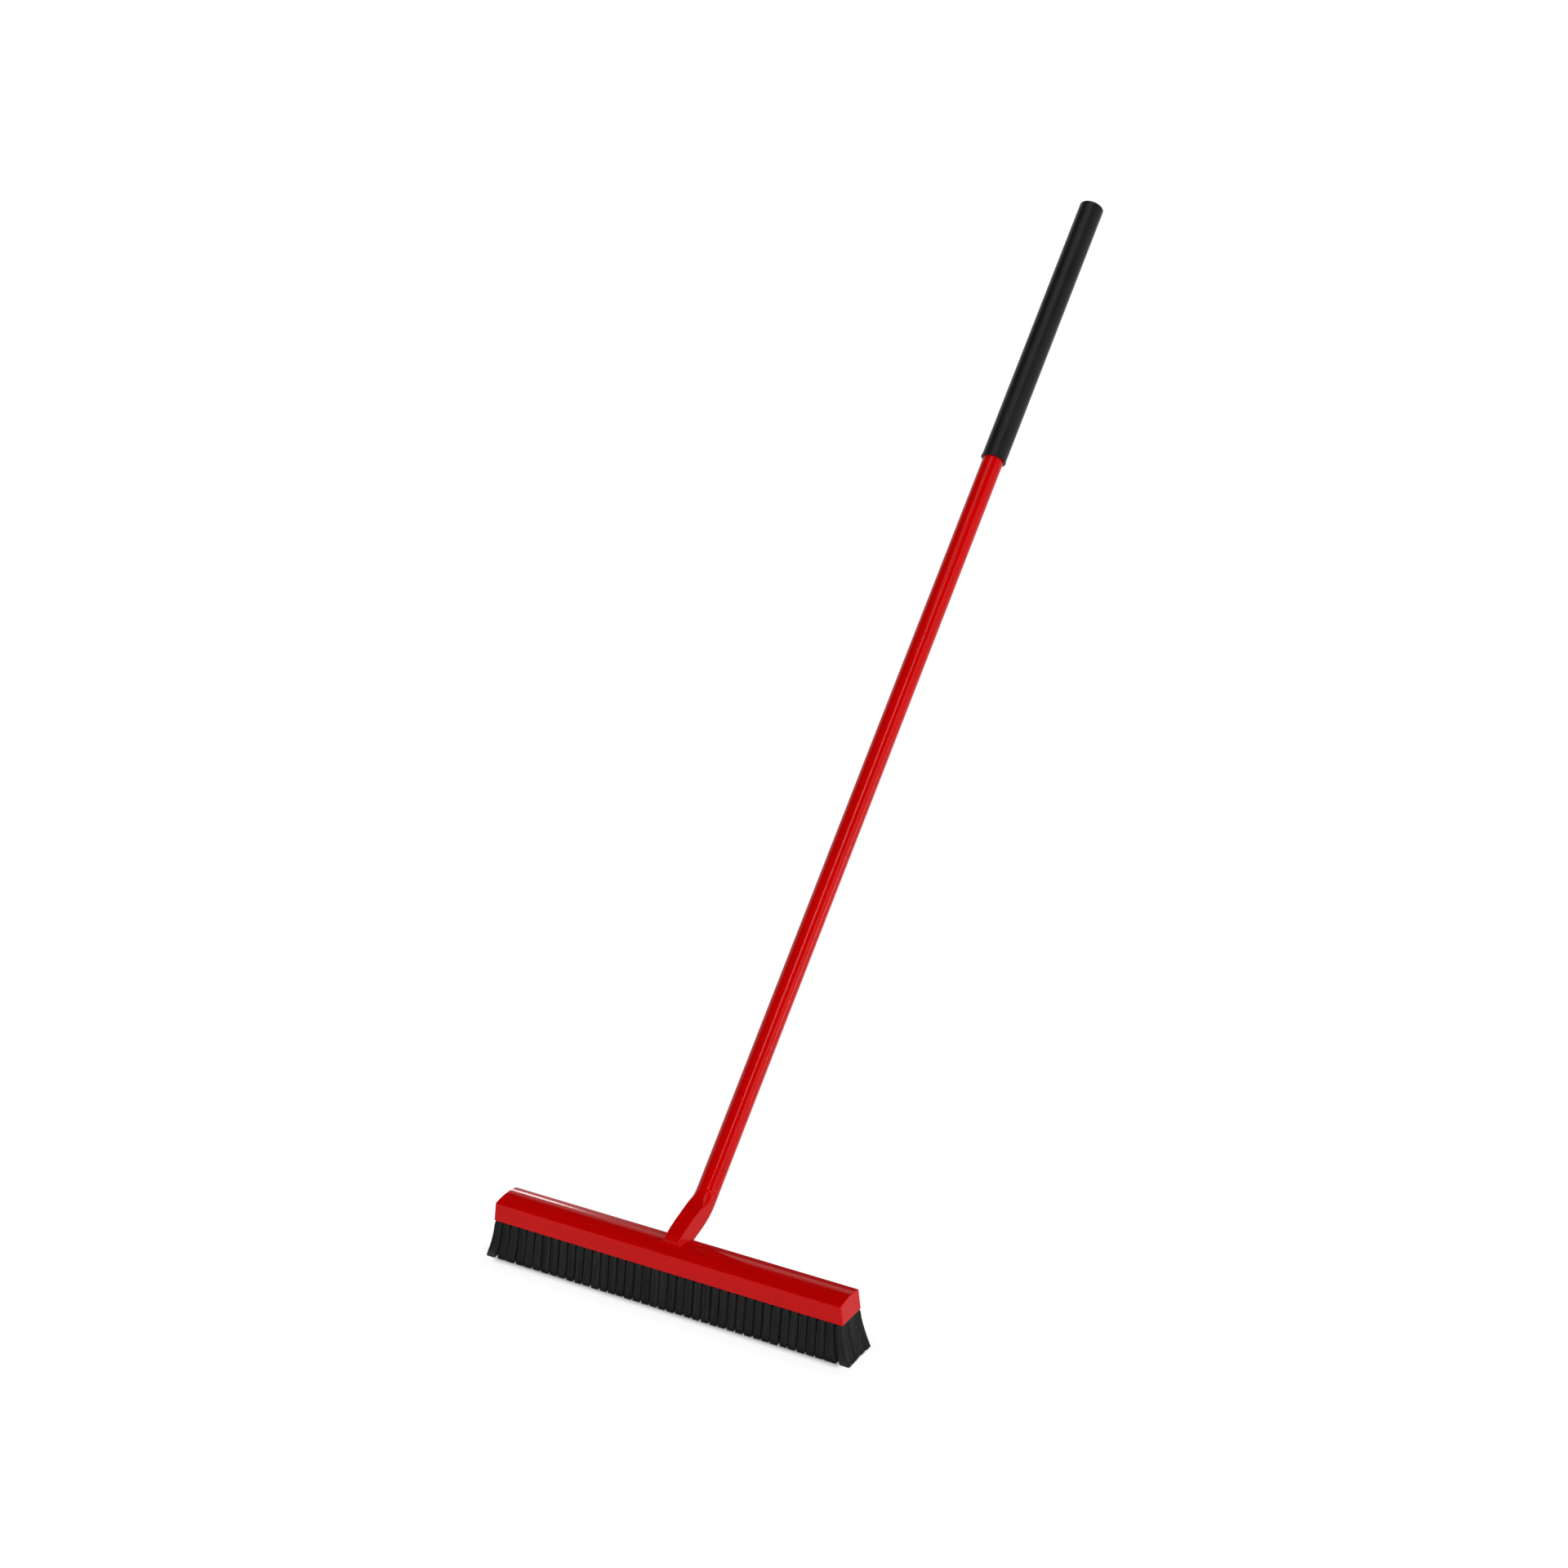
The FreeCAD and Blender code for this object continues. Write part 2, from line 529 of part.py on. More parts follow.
def grip_sleeve():
    """Soft sleeve with a rim at its mouth and a closed, softly domed end."""
    bore = TUBE_RADIUS + GRIP_CLEARANCE
    bore_top = TUBE_END + TOP_PLUG_CAP + 0.2
    rim_top = GRIP_START + GRIP_RIM_LENGTH
    shoulder = GRIP_END - GRIP_END_DOME - GRIP_END_ROUND
    flat = GRIP_RADIUS - GRIP_END_ROUND
    middle = GRIP_END_ROUND * math.sqrt(0.5)
    dome_radius = (flat ** 2 + GRIP_END_DOME ** 2) / (2 * GRIP_END_DOME)
    half_turn = math.asin(flat / dome_radius) / 2
    dome_edge = at(flat, GRIP_END - GRIP_END_DOME)
    dome_mid = at(dome_radius * math.sin(half_turn), GRIP_END - dome_radius * (1 - math.cos(half_turn)))
    small = GRIP_RIM_ROUND
    rounded = small * math.sqrt(0.5)
    outline = [
        Part.LineSegment(at(0, GRIP_END), at(0, bore_top)).toShape(),
        Part.LineSegment(at(0, bore_top), at(bore, bore_top)).toShape(),
        Part.LineSegment(at(bore, bore_top), at(bore, GRIP_START)).toShape(),
        Part.LineSegment(at(bore, GRIP_START), at(GRIP_RIM_RADIUS - small, GRIP_START)).toShape(),
        Part.Arc(
            at(GRIP_RIM_RADIUS - small, GRIP_START),
            at(GRIP_RIM_RADIUS - small + rounded, GRIP_START + small - rounded),
            at(GRIP_RIM_RADIUS, GRIP_START + small)).toShape(),
        Part.LineSegment(
            at(GRIP_RIM_RADIUS, GRIP_START + small), at(GRIP_RIM_RADIUS, rim_top)).toShape(),
        Part.LineSegment(at(GRIP_RIM_RADIUS, rim_top), at(GRIP_RADIUS, rim_top + small)).toShape(),
        Part.LineSegment(at(GRIP_RADIUS, rim_top + small), at(GRIP_RADIUS, shoulder)).toShape(),
        Part.Arc(
            at(GRIP_RADIUS, shoulder),
            at(flat + middle, shoulder + middle),
            dome_edge).toShape(),
        Part.Arc(dome_edge, dome_mid, at(0, GRIP_END)).toShape(),
    ]
    return turned(outline)


# ---- build -----------------------------------------------------------------------------

os.makedirs("parts", exist_ok=True)

solid_block = block_body()
export("head_block", head_block(solid_block))
for row_number in range(TUFT_ROWS):
    export("bristle_row_%d" % (row_number + 1), bristle_row(row_number))
    export("tuft_anchors_%d" % (row_number + 1), tuft_anchors(row_number))

export("neck", neck(solid_block))
screw_places = [tuft_x(index) for index in screw_indices()]
export("head_screws", Part.makeCompound([head_screw(x) for x in screw_places]))
export("head_washers", Part.makeCompound([head_washer(x) for x in screw_places]))
export("threaded_inserts", Part.makeCompound([threaded_insert(x) for x in screw_places]))

export("thrust_ring", thrust_ring())
export("handle_tube", handle_tube())
export("threaded_ferrule", threaded_ferrule())
export("tube_top_plug", tube_top_plug())
export("grip_sleeve", grip_sleeve())
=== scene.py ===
import json
import math

import bpy
import numpy as np
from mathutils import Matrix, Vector


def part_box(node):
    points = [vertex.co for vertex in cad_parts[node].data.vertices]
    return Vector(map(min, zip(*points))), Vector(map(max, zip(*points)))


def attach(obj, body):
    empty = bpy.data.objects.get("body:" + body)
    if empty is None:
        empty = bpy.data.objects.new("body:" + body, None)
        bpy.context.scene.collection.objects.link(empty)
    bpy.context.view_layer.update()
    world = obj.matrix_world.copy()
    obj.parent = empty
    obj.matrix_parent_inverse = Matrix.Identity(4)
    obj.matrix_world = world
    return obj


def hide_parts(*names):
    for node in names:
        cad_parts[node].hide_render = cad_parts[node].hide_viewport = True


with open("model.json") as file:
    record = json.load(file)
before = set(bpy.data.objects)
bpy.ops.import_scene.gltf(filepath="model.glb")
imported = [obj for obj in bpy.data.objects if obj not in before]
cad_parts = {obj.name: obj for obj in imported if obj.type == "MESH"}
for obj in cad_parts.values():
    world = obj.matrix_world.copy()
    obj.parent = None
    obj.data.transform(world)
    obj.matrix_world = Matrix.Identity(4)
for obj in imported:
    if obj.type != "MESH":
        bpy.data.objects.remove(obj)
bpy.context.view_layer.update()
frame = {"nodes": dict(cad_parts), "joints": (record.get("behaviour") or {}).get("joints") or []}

# A push broom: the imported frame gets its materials, and the five plain bristle slabs are
# replaced by rows of tufts made of separate fibres. Metres, in the frame's own axes.

MM = 0.001
nodes = frame["nodes"]

# ---- places taken from the frame ---------------------------------------------------

block_low, block_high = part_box("head_block")
half_length = (block_high.x - block_low.x) / 2
half_depth = (block_high.y - block_low.y) / 2
underside = block_low.z
row_low, row_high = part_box("bristle_row_1")
end_reach = row_high.x              # how far the bristle tips spread along X
side_reach = -row_low.y             # and along Y
handle_axis = frame["joints"][0]["axis"]

TUFTS_PER_ROW = 41
TUFT_ROWS = 5
END_MARGIN = 5.2 * MM               # from the block's end to the middle of the first hole
SIDE_MARGIN = 4.9 * MM              # and from its front or back
SCREW_STEP = 2                      # centre-row tufts this far from the middle are left out
tuft_pitch_x = (2 * half_length - 2 * END_MARGIN) / (TUFTS_PER_ROW - 1)
tuft_pitch_y = (2 * half_depth - 2 * SIDE_MARGIN) / (TUFT_ROWS - 1)


# ---- material helpers --------------------------------------------------------------

MOULDED_EDGE = 0.6 * MM             # how far the look of a moulded edge is softened
BEVEL_SAMPLES = 6


def new_material(name):
    material = bpy.data.materials.new(name)
    material.use_nodes = True
    tree = material.node_tree
    tree.nodes.clear()
    output = tree.nodes.new("ShaderNodeOutputMaterial")
    shader = tree.nodes.new("ShaderNodeBsdfPrincipled")
    tree.links.new(shader.outputs["BSDF"], output.inputs["Surface"])
    return material, tree, shader


def node(tree, kind, **settings):
    made = tree.nodes.new(kind)
    for key, value in settings.items():
        setattr(made, key, value)
    return made


def object_coordinates(tree, scale=(1, 1, 1), turn=(0, 0, 0)):
    source = node(tree, "ShaderNodeTexCoord")
    mapping = node(tree, "ShaderNodeMapping")
    mapping.inputs["Scale"].default_value = scale
    mapping.inputs["Rotation"].default_value = turn
    tree.links.new(source.outputs["Object"], mapping.inputs["Vector"])
    return mapping.outputs["Vector"]


def noise(tree, vector, scale, detail=3.0, roughness=0.5):
    made = node(tree, "ShaderNodeTexNoise")
    made.inputs["Scale"].default_value = scale
    made.inputs["Detail"].default_value = detail
    made.inputs["Roughness"].default_value = roughness
    tree.links.new(vector, made.inputs["Vector"])
    return made.outputs["Fac"]


def ranged(tree, value, low_in, high_in, low_out, high_out):
    made = node(tree, "ShaderNodeMapRange")
    made.inputs["From Min"].default_value = low_in
    made.inputs["From Max"].default_value = high_in
    made.inputs["To Min"].default_value = low_out
    made.inputs["To Max"].default_value = high_out
    tree.links.new(value, made.inputs["Value"])
    return made.outputs["Result"]


def ramp(tree, value, stops):
    made = node(tree, "ShaderNodeValToRGB")
    elements = made.color_ramp.elements
    while len(elements) < len(stops):
        elements.new(0.5)
    for element, (place, colour) in zip(elements, stops):
        element.position = place
        element.color = (*colour, 1)
    tree.links.new(value, made.inputs["Fac"])
    return made.outputs["Color"]


def added(tree, first, second, share):
    """first + share * second."""
    made = node(tree, "ShaderNodeMath", operation="MULTIPLY_ADD")
    tree.links.new(second, made.inputs[0])
    made.inputs[1].default_value = share
    tree.links.new(first, made.inputs[2])
    return made.outputs[0]


def vector_step(tree, operation, first, second=None):
    """One vector calculation; a length comes out as a plain value."""
    step = node(tree, "ShaderNodeVectorMath", operation=operation)
    tree.links.new(first, step.inputs[0])
    if second:
        step.inputs[1].default_value = second
    return step.outputs["Value" if operation == "LENGTH" else "Vector"]


def value_step(tree, operation, first, second=0):
    """One calculation with two plain values; the second may be a number."""
    step = node(tree, "ShaderNodeMath", operation=operation)
    tree.links.new(first, step.inputs[0])
    if isinstance(second, (int, float)):
        step.inputs[1].default_value = second
    else:
        tree.links.new(second, step.inputs[1])
    return step.outputs["Value"]


def bump(tree, shader, height, distance, strength=1.0, rounded=0.0):
    """Fine relief; rounded softens the look of edges by that radius."""
    made = node(tree, "ShaderNodeBump")
    if rounded:
        edges = node(tree, "ShaderNodeBevel", samples=BEVEL_SAMPLES)
        edges.inputs["Radius"].default_value = rounded
        tree.links.new(edges.outputs["Normal"], made.inputs["Normal"])
    made.inputs["Distance"].default_value = distance
    made.inputs["Strength"].default_value = strength
    tree.links.new(height, made.inputs["Height"])
    tree.links.new(made.outputs["Normal"], shader.inputs["Normal"])


# ---- materials -----------------------------------------------------------------------

def moulded_red():
    """Glossy injection-moulded plastic: faint flow marks, orange peel and handling haze."""
    material, tree, shader = new_material("moulded_red")
    place = object_coordinates(tree)
    flow = noise(tree, object_coordinates(tree, scale=(1, 6, 6)), 9.0, 4.0)
    colour = ramp(tree, flow, [
        (0.30, (0.405, 0.0004, 0.0004)),
        (0.70, (0.435, 0.0006, 0.0005)),
    ])
    tree.links.new(colour, shader.inputs["Base Color"])
    haze = noise(tree, place, 60.0, 5.0, 0.62)
    tree.links.new(ranged(tree, haze, 0.3, 0.75, 0.05, 0.10), shader.inputs["Roughness"])
    peel = noise(tree, place, 420.0, 2.0)
    grain = noise(tree, place, 2600.0, 2.0)
    bump(tree, shader, added(tree, peel, grain, 0.25), 0.00002, rounded=MOULDED_EDGE)
    shader.inputs["IOR"].default_value = 1.49
    shader.inputs["Specular IOR Level"].default_value = 0.10
    return material


def coated_red():
    """Gloss coating over a drawn tube: lengthwise drawing marks under a smooth coat."""
    material, tree, shader = new_material("coated_red")
    tilt = math.atan2(handle_axis[1], handle_axis[2])
    lengthwise = object_coordinates(tree, scale=(260, 260, 5), turn=(tilt, 0, 0))
    drawn = noise(tree, lengthwise, 1.0, 3.0)
    place = object_coordinates(tree)
    cloud = noise(tree, place, 14.0, 4.0)
    colour = ramp(tree, cloud, [
        (0.30, (0.395, 0.0004, 0.0005)),
        (0.72, (0.430, 0.0006, 0.0006)),
    ])
    tree.links.new(colour, shader.inputs["Base Color"])
    haze = noise(tree, place, 90.0, 5.0, 0.6)
    tree.links.new(ranged(tree, haze, 0.3, 0.75, 0.05, 0.10), shader.inputs["Roughness"])
    peel = noise(tree, place, 380.0, 2.0)
    bump(tree, shader, added(tree, peel, drawn, 0.5), 0.000012)
    shader.inputs["IOR"].default_value = 1.5
    shader.inputs["Specular IOR Level"].default_value = 0.11
    return material


def grip_rubber():
    """Satin black sleeve: fine sprayed grain, handling shine in patches, a little dust."""
    material, tree, shader = new_material("grip_rubber")
    place = object_coordinates(tree)
    cloud = noise(tree, place, 22.0, 4.0)
    dust = noise(tree, place, 900.0, 2.0)
    shade = added(tree, cloud, dust, 0.25)
    colour = ramp(tree, shade, [
        (0.35, (0.0052, 0.0052, 0.0054)),
        (0.85, (0.0082, 0.0082, 0.0084)),
    ])
    tree.links.new(colour, shader.inputs["Base Color"])
    tree.links.new(ranged(tree, cloud, 0.3, 0.7, 0.30, 0.37), shader.inputs["Roughness"])
    grain = noise(tree, place, 2200.0, 3.0, 0.6)
    bump(tree, shader, grain, 0.00005)
    shader.inputs["Specular IOR Level"].default_value = 0.12
    return material


def bristle_fibre():
    """Black extruded fibre: each one a slightly different shade."""
    material, tree, shader = new_material("bristle_fibre")
    # the attribute holds each fibre's own tint, the cores' painted shade and the end tufts' painted
    # light
    tint_and_painted_light = node(tree, "ShaderNodeAttribute", attribute_name="fibre_tint_and_painted_light")
    place = object_coordinates(tree, scale=(1, 1, 0.15))
    streak = noise(tree, place, 1400.0, 2.0)
    shade = added(tree, tint_and_painted_light.outputs["Fac"], streak, 0.35)
    # the near-black is the fibres' own colour; the faint green in it is a painted reflection of the
    # surroundings
    colour = ramp(tree, shade, [
        (0.10, (0.0030, 0.0032, 0.0030)),
        (0.60, (0.0090, 0.0094, 0.0090)),
        (1.00, (0.0190, 0.0200, 0.0188)),
    ])
    tree.links.new(colour, shader.inputs["Base Color"])
    tree.links.new(ranged(tree, streak, 0.3, 0.7, 0.38, 0.56), shader.inputs["Roughness"])
    bump(tree, shader, streak, 0.00003)
    shader.inputs["Specular IOR Level"].default_value = 0.26
    return material


def plain_metal(name, dark, light, rough_low, rough_high):
    """Turned or rolled metal with fine tool marks."""
    material, tree, shader = new_material(name)
    marks = noise(tree, object_coordinates(tree, scale=(1, 1, 30)), 500.0, 3.0)
    tree.links.new(ramp(tree, marks, [(0.3, dark), (0.7, light)]), shader.inputs["Base Color"])
    tree.links.new(ranged(tree, marks, 0.3, 0.7, rough_low, rough_high), shader.inputs["Roughness"])
    bump(tree, shader, marks, 0.00002)
    shader.inputs["Metallic"].default_value = 1.0
    return material


def plain_plastic(name, dark, light):
    """Small hidden mouldings: fine spark-eroded grain."""
    material, tree, shader = new_material(name)
    place = object_coordinates(tree)
    cloud = noise(tree, place, 120.0, 3.0)
    tree.links.new(ramp(tree, cloud, [(0.3, dark), (0.7, light)]), shader.inputs["Base Color"])
    tree.links.new(ranged(tree, cloud, 0.3, 0.7, 0.36, 0.52), shader.inputs["Roughness"])
    bump(tree, shader, noise(tree, place, 1800.0, 2.0), 0.00004)
    return material


def dress(material, *names):
    for name in names:
        target = nodes[name]
        if not target.material_slots:
            target.data.materials.append(material)
        for holder in target.material_slots:
            holder.material = material


dress(moulded_red(), "head_block", "neck", "thrust_ring")
dress(coated_red(), "handle_tube")
dress(grip_rubber(), "grip_sleeve")
dress(plain_metal("zinc_steel", (0.42, 0.43, 0.44), (0.62, 0.62, 0.60), 0.28, 0.42),
      "head_screws", "head_washers", *["tuft_anchors_%d" % (i + 1) for i in range(TUFT_ROWS)])
dress(plain_metal("brass_insert", (0.50, 0.34, 0.12), (0.68, 0.50, 0.22), 0.22, 0.36),
      "threaded_inserts")
dress(plain_plastic("black_moulding", (0.010, 0.010, 0.010), (0.022, 0.022, 0.022)),
      "threaded_ferrule", "tube_top_plug")


# ---- bristles --------------------------------------------------------------------------

FIBRES_PER_TUFT = 84
FIBRE_RADIUS = 0.22 * MM
FIBRE_RINGS = 8
FIBRE_SIDES = 3
CORE_SIDES = 24
CORE_RINGS = 9
ROOT_DEPTH = 2.0 * MM               # how far a tuft is modelled up its hole
ROOT_HALF = 2.85 * MM               # half width of a tuft in its hole
BODY_HALF_X = 4.32 * MM             # half width once it has opened out
BODY_HALF_Y = 4.15 * MM
END_TUFT_DEPTH = 1.24               # the end tufts are this much deeper and close into a sheet
TIP_GROWTH = 0.24 * MM
GROWTH_POWER = 1.5                  # the widening comes mostly near the tips
LEFT_LEAN = 0.86                    # lean of the end tufts, as a share of the room there is
RIGHT_LEAN = 0.84
LEFT_LEAN_TUFTS = 3.2               # and it fades over this many tufts
RIGHT_LEAN_TUFTS = 0.9
LEAN_POWER = 1.7                    # how late along its length a tuft bends, along X
SIDE_LEAN_POWER = 1.3               # and along Y
FAN_FILL = 0.62                     # share of a fanned gap that each tuft beside it fills
SET = -1.3 * MM                     # wear has set the tips a little to the left
TRIM_UNEVEN = 0.22 * MM
CORNER_POWER = 9                    # 2 is an ellipse, more is squarer
CORE_VALLEY = 0.86                  # the core's half width between its ridges, as a share
CORE_RIDGE = 0.05                   # and how much its ridges add
CORE_CLOSING = 0.96                 # the core draws in by this at its very tip
CORE_CLEAR = 0.5 * MM               # and ends this far above the fibre tips
# the tuft cores are painted far darker than the fibres: painted shade in the gaps between tufts
CORE_PAINTED_SHADE_TINT = 0.04
STRAY_SHARE = 0.04                  # this share of the fibres strays
STRAY_FACTOR = 3.0
TIP_CLEAR = 0.3 * MM                # no fibre comes nearer to the outer faces than this
FIBRE_TINT = 0.40
# the end tufts are painted lighter than the rest: painted light on the end faces
END_FIBRE_PAINTED_LIGHT_TINT = 0.47
TINT_SPREAD = 0.13
END_TINT_SPREAD = 0.06


def tuft_x(index):
    return (index - (TUFTS_PER_ROW - 1) / 2) * tuft_pitch_x


def tuft_y(row):
    return (row - (TUFT_ROWS - 1) / 2) * tuft_pitch_y


def tufts_in_row(row):
    middle = (TUFTS_PER_ROW - 1) // 2
    left_out = (middle - SCREW_STEP, middle + SCREW_STEP) if row == (TUFT_ROWS - 1) // 2 else ()
    return [i for i in range(TUFTS_PER_ROW) if i not in left_out]


def smooth(value):
    value = np.clip(value, 0, 1)
    return value * value * (3 - 2 * value)


def opening(t):
    """How far a tuft has opened out, from 0 in its hole to 1 at its full width."""
    return smooth((t - 0.03) / 0.08)


def lean(index):
    """How far a tuft's tip stands from below its root, along X."""
    last = TUFTS_PER_ROW - 1
    reach = end_reach - (half_length - END_MARGIN) - BODY_HALF_X - 3 * TIP_GROWTH
    left = -LEFT_LEAN * reach * math.exp(-index / LEFT_LEAN_TUFTS)
    right = RIGHT_LEAN * reach * math.exp(-(last - index) / RIGHT_LEAN_TUFTS)
    ends = math.exp(-index / 3) + math.exp((index - last) / 2)
    return left + right + SET * (1 - min(1, ends))


def outline(share):
    """Unit outline of a tuft, a square with rounded corners, walked evenly from share 0 to 1."""
    walk = (share % 1) * 4
    side = np.floor(walk)
    along = 2 * (walk - side) - 1
    sides = [side == 0, side == 1, side == 2, side == 3]
    x = np.select(sides, [np.ones_like(along), -along, -np.ones_like(along), along])
    y = np.select(sides, [along, np.ones_like(along), -along, -np.ones_like(along)])
    shrink = (np.abs(x) ** CORNER_POWER + np.abs(y) ** CORNER_POWER) ** (-1 / CORNER_POWER)
    return x * shrink, y * shrink


class TuftShape:
    """The centre line and half widths of one tuft, for any share t of its length."""

    def __init__(self, index, row, draw):
        self.x = tuft_x(index)
        self.y = tuft_y(row)
        last = TUFTS_PER_ROW - 1
        spread = (lean(min(index + 1, last)) - lean(max(index - 1, 0))) / 2
        fill = 2 * FAN_FILL if index == 0 else FAN_FILL
        self.growth = TIP_GROWTH + fill * max(0, spread)
        self.lean_x = lean(index) + draw.normal(0, 0.22) * MM
        row_share = 2 * row / (TUFT_ROWS - 1) - 1
        out = side_reach - (half_depth - SIDE_MARGIN) - BODY_HALF_Y - TIP_GROWTH
        self.lean_y = row_share * out + draw.normal(0, 0.12) * MM
        self.wave = draw.uniform(0, math.tau)
        self.wave_size = draw.normal(0, 0.16) * MM
        self.half_x = BODY_HALF_X * draw.uniform(0.98, 1.02)
        self.half_y = BODY_HALF_Y * (END_TUFT_DEPTH if index in (0, last) else 1.0)
        self.tip = abs(draw.normal(0, TRIM_UNEVEN))

    def centre(self, t):
        sway = self.wave_size * np.sin(self.wave + 4.0 * t) * t
        x = self.x + self.lean_x * t ** LEAN_POWER + sway
        y = self.y + self.lean_y * t ** SIDE_LEAN_POWER
        return x, y

    def halves(self, t):
        grown = opening(t)
        x = ROOT_HALF + (self.half_x - ROOT_HALF) * grown + self.growth * t ** GROWTH_POWER
        y = ROOT_HALF + (self.half_y - ROOT_HALF) * grown + TIP_GROWTH * t
        return x, y


def stack_faces(first, rings, sides):
    """Quads round a stack of rings, with a polygon on each end. Rings run from the top down."""
    faces = []
    for ring in range(rings - 1):
        for side in range(sides):
            a = first + ring * sides + side
            b = first + ring * sides + (side + 1) % sides
            faces.append((a, b, b + sides, a + sides))
    faces.append(tuple(first + side for side in reversed(range(sides))))
    last = first + (rings - 1) * sides
    faces.append(tuple(last + side for side in range(sides)))
    return faces


def tuft_core(shape, draw):
    """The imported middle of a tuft: ridged like the fibres that lie on it."""
    t = np.linspace(0, 1, CORE_RINGS)[:, None]
    share = np.linspace(0, 1, CORE_SIDES, endpoint=False)[None, :]
    ridge = CORE_VALLEY + CORE_RIDGE * (np.arange(CORE_SIDES) % 2)[None, :]
    ridge = ridge + draw.uniform(-0.02, 0.02, (1, CORE_SIDES))
    x, y = shape.centre(t)
    half_x, half_y = shape.halves(t)
    ux, uy = outline(share)
    at_tip = t > 0.99
    closing = np.where(at_tip, CORE_CLOSING, 1.0)
    top = underside + ROOT_DEPTH
    low = CORE_CLEAR + shape.tip
    z = top + (low - top) * t + draw.uniform(-0.2, 0.2, (1, CORE_SIDES)) * MM * at_tip
    points = np.stack(np.broadcast_arrays(
        x + ux * ridge * closing * half_x,
        y + uy * ridge * closing * half_y,
        z), axis=-1)
    return points.reshape(-1, 3), stack_faces(0, CORE_RINGS, CORE_SIDES)


def tuft_fibres(shape, draw):
    """The points of a tuft's separate fibres: fibre by fibre, ring by ring, side by side."""
    count = FIBRES_PER_TUFT
    share = (np.arange(count) + draw.uniform(0, 1, count)) / count
    depth = np.sqrt(draw.uniform(0.80, 1.0, count))
    ux, uy = outline(share)
    t = np.linspace(0, 1, FIBRE_RINGS)[None, :]
    x, y = shape.centre(t)
    half_x, half_y = shape.halves(t)
    stray = np.where(draw.uniform(0, 1, count) < STRAY_SHARE, STRAY_FACTOR, 1.0)[:, None]
    drift_x = draw.normal(0, 0.13, (count, 1)) * MM * stray * t ** 1.6
    drift_y = draw.normal(0, 0.13, (count, 1)) * MM * stray * t ** 1.6
    crimp = draw.uniform(0.02, 0.11, (count, 1)) * MM
    phase = draw.uniform(0, math.tau, (count, 1))
    turns = draw.uniform(5, 10, (count, 1))
    wiggle = crimp * np.sin(phase + turns * t) * np.minimum(1, 4 * t)
    line_x = x + ux[:, None] * depth[:, None] * half_x + drift_x + wiggle
    line_y = y + uy[:, None] * depth[:, None] * half_y + drift_y + wiggle * 0.6
    line_x = np.clip(line_x, -end_reach + TIP_CLEAR, end_reach - TIP_CLEAR)
    line_y = np.clip(line_y, -side_reach + TIP_CLEAR, side_reach - TIP_CLEAR)
    tip = shape.tip + np.abs(draw.normal(0, 0.20, (count, 1))) * MM
    top = underside + ROOT_DEPTH
    line_z = top + (tip - top) * t
    around = np.linspace(0, math.tau, FIBRE_SIDES, endpoint=False)[None, None, :]
    around = around + phase[:, :, None]
    girth = FIBRE_RADIUS * draw.uniform(0.85, 1.15, (count, 1, 1))
    girth = girth * np.where(t > 0.99, 0.8, 1.0)[:, :, None]
    points = np.stack(np.broadcast_arrays(
        line_x[:, :, None] + girth * np.cos(around),
        line_y[:, :, None] + girth * np.sin(around),
        line_z[:, :, None]), axis=-1)
    return points.reshape(-1, 3)


def bristle_row(row, material):
    """One row of tufts as one mesh. Each point carries its fibre's own tint; the cores carry
    painted shade and the end tufts painted light.
    """
    draw = np.random.default_rng(40 + row)
    points = []
    faces = []
    tints_and_painted_light = []
    total = 0
    per_fibre = FIBRE_RINGS * FIBRE_SIDES
    for index in tufts_in_row(row):
        shape = TuftShape(index, row, draw)
        core, core_faces = tuft_core(shape, draw)
        points.append(core)
        faces += [tuple(v + total for v in face) for face in core_faces]
        # the core gets painted shade, standing in for the dark deep in the gaps between tufts
        tints_and_painted_light.append(np.full(len(core), CORE_PAINTED_SHADE_TINT))
        total += len(core)
        fibres = tuft_fibres(shape, draw)
        points.append(fibres)
        for number in range(FIBRES_PER_TUFT):
            faces += stack_faces(total + number * per_fibre, FIBRE_RINGS, FIBRE_SIDES)
        tuft_tint = draw.normal(0, 0.05)
        at_end = index in (0, TUFTS_PER_ROW - 1)
        # end tufts get a lighter tint: painted light on the end faces
        middle_tint_and_painted_end_light = END_FIBRE_PAINTED_LIGHT_TINT if at_end else FIBRE_TINT
        varied = draw.normal(0, END_TINT_SPREAD if at_end else TINT_SPREAD, FIBRES_PER_TUFT)
        tint_and_painted_light = np.clip(middle_tint_and_painted_end_light + varied + tuft_tint, 0.02, 1)
        tints_and_painted_light.append(np.repeat(tint_and_painted_light, per_fibre))
        total += len(fibres)
    mesh = bpy.data.meshes.new("bristles_%d" % (row + 1))
    mesh.from_pydata(np.concatenate(points).tolist(), [], faces)
    attribute = mesh.attributes.new("fibre_tint_and_painted_light", "FLOAT", "POINT")
    attribute.data.foreach_set("value", np.concatenate(tints_and_painted_light).astype(np.float32))
    mesh.polygons.foreach_set("use_smooth", [len(face) == 4 for face in faces])
    mesh.update()
    mesh.materials.append(material)
    piece = bpy.data.objects.new("bristles_%d" % (row + 1), mesh)
    bpy.context.collection.objects.link(piece)
    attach(piece, "head")
    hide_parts("bristle_row_%d" % (row + 1))


fibre = bristle_fibre()
for row_number in range(TUFT_ROWS):
    bristle_row(row_number, fibre)


# ---- floor, light and camera -----------------------------------------------------------

FLOOR_HALF = 60.0
FLOOR_DROP = 0.2 * MM
SHADOW_REACH = 36 * MM              # the floor's glow is dimmed into a painted shadow within this distance of the bristles
SHADOW_END_INSET = 16 * MM          # the painted shadow patch starts this far inside the tips' spread
SHADOW_SIDE_INSET = 2 * MM
SHADOW_SHIFT = 2 * MM               # and lies this far towards the front


